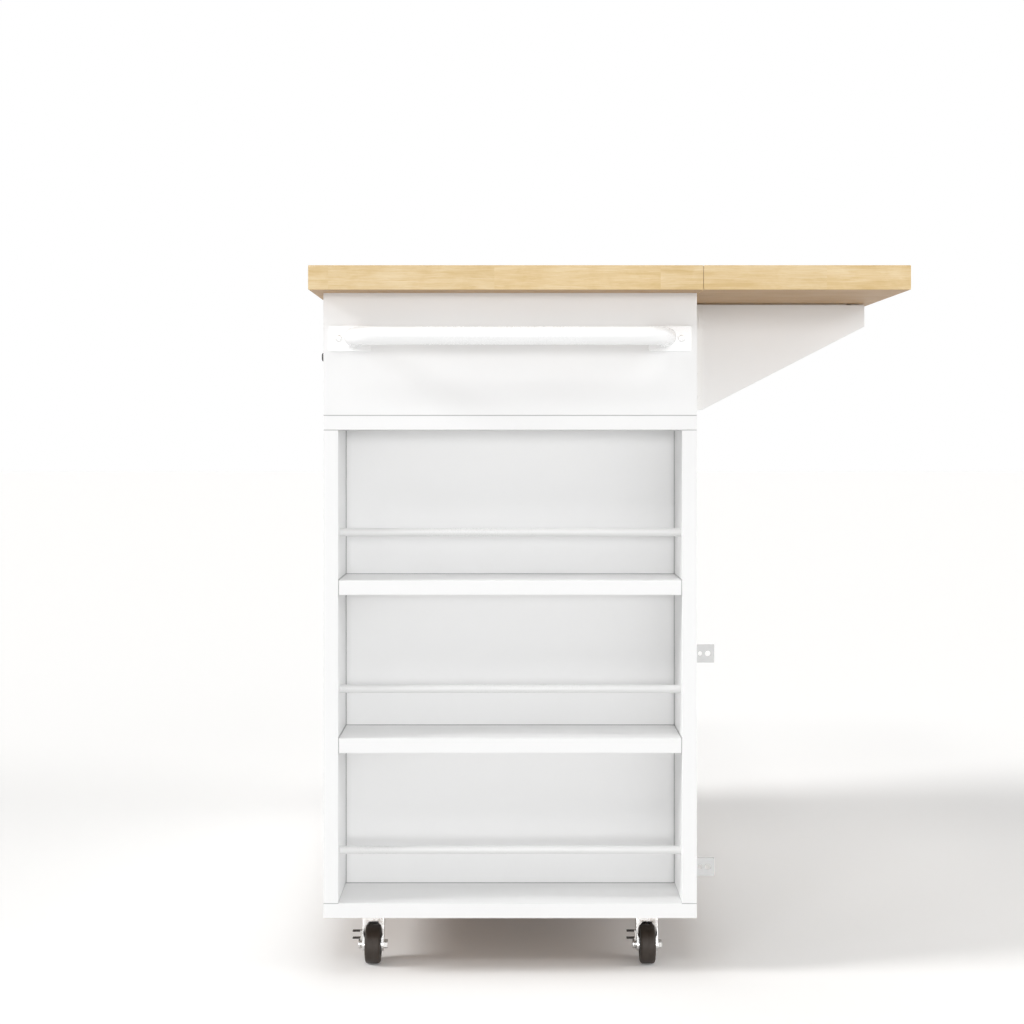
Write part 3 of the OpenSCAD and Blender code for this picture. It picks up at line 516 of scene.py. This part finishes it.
def revolve(bm, profile, steps, centre):
    """Turns a closed outline of (radius, x) points about the X axis through centre."""
    axis = Vector((1, 0, 0))
    side = axis.orthogonal().normalized()
    other = axis.cross(side)
    turns = [2 * math.pi * k / steps for k in range(steps)]
    rings = [[bm.verts.new(centre + axis * x + (side * math.cos(a) + other * math.sin(a)) * radius)
              for a in turns] for radius, x in profile + profile[:1]]
    for low, high in zip(rings, rings[1:]):
        for k in range(steps):
            n = (k + 1) % steps
            bm.faces.new((low[k], low[n], high[n], high[k]))
    bmesh.ops.remove_doubles(bm, verts=bm.verts, dist=1e-7)


def both_sides(half):
    """An outline that is the same on both sides of the wheel's middle."""
    return half + [(radius, -x) for radius, x in reversed(half)]


def make_wheels(mats):
    """Each wheel as a round-shouldered tread with a parting line, on a ribbed hub."""
    for name in CASTERS:
        wheel = name + "_wheel"
        low, high = (Vector(p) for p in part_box(wheel))
        centre = (low + high) / 2
        r = (high.z - low.z) / 2
        hub_half = (high.x - low.x) / 2

        half = TREAD_HALF
        shoulder = [(RIM_IN, 0.0012 - half), (0.0165, 0.0002 - half), (0.0172, -half), (r - 0.0032, -half),
                    (r - 0.0016, 0.0006 - half), (r - 0.0005, 0.0018 - half), (r, 0.0034 - half)]
        parting = [(r, -0.0006), (r - 0.00015, -0.0003)]
        bm = bmesh.new()
        revolve(bm, both_sides(shoulder + parting), TREAD_STEPS, centre)
        tread = new_piece(name + "_tread", finish_mesh(bm, "tread"), mats["tread"], wheel)
        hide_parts(wheel)

        hub = [(BORE, -hub_half), (0.0062, -hub_half), (0.0068, 0.0005 - hub_half),
               (0.0072, 0.0026 - hub_half), (0.0080, -0.0074), (0.0130, -0.0070), (0.0144, -0.0082),
               (0.0158, -0.0090), (0.0160, -0.0084)]
        bm = bmesh.new()
        revolve(bm, both_sides(hub), HUB_STEPS, centre)
        add_ribs(bm, centre)
        new_piece(name + "_hub", finish_mesh(bm, "hub"), mats["hub"], wheel)


def add_ribs(bm, centre):
    """The hub's ribs, on both of its faces."""
    size = Matrix.Diagonal((*RIB_SIZE, 1))
    for side in (-1, 1):
        for k in range(RIBS):
            turn = Matrix.Rotation(2 * math.pi * k / RIBS + RIB_TURN, 4, "X")
            shift = Matrix.Translation((side * RIB_X, 0, RIB_RADIUS))
            bmesh.ops.create_cube(bm, size=1, matrix=Matrix.Translation(centre) @ turn @ shift @ size)


def cross_head(bm, centre, axis, radius, height, turn):
    """A domed screw head with a sunk cross, its seat at centre."""
    axis = Vector(axis)
    side = Matrix.Rotation(turn, 3, axis) @ axis.orthogonal().normalized()
    other = axis.cross(side)
    steps = 32

    def vert(u, v, h):
        return bm.verts.new(centre + axis * h + side * u + other * v)

    # The dome: radius and height of each ring, as shares of the head's own
    dome = [(1.0, 0.0), (1.0, 0.25), (0.96, 0.52), (0.86, 0.76), (0.70, 0.92), (0.56, 0.98)]
    turns = [2 * math.pi * k / steps for k in range(steps)]
    rings = [[vert(r * radius * math.cos(a), r * radius * math.sin(a), h * height) for a in turns]
             for r, h in dome]
    for low, high in zip(rings, rings[1:]):
        for k in range(steps):
            n = (k + 1) % steps
            bm.faces.new((low[k], low[n], high[n], high[k]))
    bm.faces.new(reversed(rings[0]))

    # The cross: three points of its outline a quarter, at the top and narrower at its floor
    half, reach = 0.13 * radius, 0.52 * radius
    floor_share, floor_height = 0.72, 0.38 * height
    outline = []
    for u, v in ((1, 0), (0, 1), (-1, 0), (0, -1)):
        for px, py in ((reach, half), (half, half), (half, reach)):
            outline.append((px * u - py * v, px * v + py * u))
    top = [vert(u, v, height) for u, v in outline]
    floor = [vert(floor_share * u, floor_share * v, floor_height) for u, v in outline]
    for k in range(len(top)):
        n = (k + 1) % len(top)
        bm.faces.new((top[k], top[n], floor[n], floor[k]))
    bm.faces.new(floor)

    # The rim between the last ring and the cross
    edges = []
    for loop in (rings[-1], top):
        for k in range(len(loop)):
            a, b = loop[k], loop[(k + 1) % len(loop)]
            edges.append(bm.edges.get((a, b)) or bm.edges.new((a, b)))
    bmesh.ops.triangle_fill(bm, use_beauty=True, edges=edges)

    # The inside of the cross is open: drop any face that closed it
    for face in [f for f in bm.faces if all(v in top for v in f.verts)]:
        middle = face.calc_center_median() - centre
        u, v = abs(middle.dot(side)), abs(middle.dot(other))
        if min(u, v) < half and max(u, v) < reach:
            bm.faces.remove(face)


def screws(name, points, axis, head, mats, look, body):
    """One piece with a screw head at each point, its axis given per point or for all."""
    bm = bmesh.new()
    radius, height = head
    for k, point in enumerate(points):
        towards = axis[k] if isinstance(axis, list) else axis
        cross_head(bm, point, towards, radius, height, FIRST_TURN + NEXT_TURN * k)
    return new_piece(name, finish_mesh(bm, name, 30), mats[look], body)


def make_screws(mats):
    """The heads that show: on the towel bar, the tie brackets, the leaf hinges and the wing hinges."""
    x, y, z = TOWEL_SCREW
    points = [spot(-x, y, z), spot(x, y, z)] + [spot(*TIE_SCREW, z) for z in TIE_HEIGHTS]
    ways = [(0, -1, 0), (0, -1, 0), (1, 0, 0), (1, 0, 0)]
    heads = screws("pan_heads", points, ways, PAN_HEAD, mats, "screw_steel", "cabinet")
    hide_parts("pan_head_screws")

    for name, side, body in (("leaf_plate_screws", -1, "cabinet"), ("leaf_flap_screws", 1, "leaf")):
        points = [spot(SEAM_X + side * away, y + along, WORKTOP_UNDERSIDE)
                  for y in LEAF_HINGES for along, away in LEAF_SCREWS]
        screws(name, points, (0, 0, -1), LEAF_HEAD, mats, "dark_steel", body)

    for name, side in (("near", -1), ("far", 1)):
        for kind, (x, y), way, body in (("_post_screws", POST_SCREW, (1, 0, 0), "cabinet"),
                                        ("_wing_screws", WING_SCREW, (0, side, 0), name + "_wing")):
            points = [spot(x, LENGTH / 2 + side * y, z) for z in WING_SCREW_HEIGHTS]
            screws(name + kind, points, way, WING_HEAD, mats, "wing_hinge_white", body)


# ---- Stage and light ----

def make_stage():
    """A wide pale floor that shows white where it is lit and keeps the object's shadow."""
    bm = bmesh.new()
    bmesh.ops.create_grid(bm, x_segments=1, y_segments=1, size=FLOOR_SIZE)
    mesh = bpy.data.meshes.new("floor")
    bm.to_mesh(mesh)
    bm.free()
    floor = link(bpy.data.objects.new("floor", mesh))
    g = Material("floor")
    seen = g.seen_rays()
    diffuse = g.add("BsdfDiffuse", {"Color": g.mixed(seen, FLOOR_LIT, FLOOR_SEEN)})
    glow = g.add("Emission", {"Color": (1, 1, 1, 1), "Strength": g.times(seen, FLOOR_GLOW)})
    both = g.add("AddShader", {0: diffuse.outputs[0], 1: glow.outputs[0]})
    g.put(both.outputs[0], g.tree.nodes["Material Output"].inputs["Surface"])
    mesh.materials.append(g.mat)


def make_light():
    world = bpy.data.worlds.new("studio")
    bpy.context.scene.world = world
    g = Graph(world)
    back = g.tree.nodes["Background"]
    g.put((1, 1, 1, 1), back.inputs["Color"])
    g.put(g.span(g.seen_rays(), 0, 1, SKY, 1.0), back.inputs["Strength"])
    for sun in SUNS:
        make_sun(*sun)


def make_sun(name, heading, height, power, spread, colour):
    data = bpy.data.lights.new(name, "SUN")
    data.energy = power * math.pi
    data.angle = math.radians(spread)
    data.color = colour
    lamp = link(bpy.data.objects.new(name, data))
    h, e = math.radians(heading), math.radians(height)
    way = Vector((math.cos(h) * math.cos(e), math.sin(h) * math.cos(e), -math.sin(e)))
    lamp.rotation_euler = way.to_track_quat("-Z", "Y").to_euler()


def main():
    make_camera()
    mats = make_materials()
    dress_nodes(mats)
    make_wheels(mats)
    make_screws(mats)
    make_stage()
    make_light()
    bpy.context.scene.view_settings.view_transform = "Standard"


main()
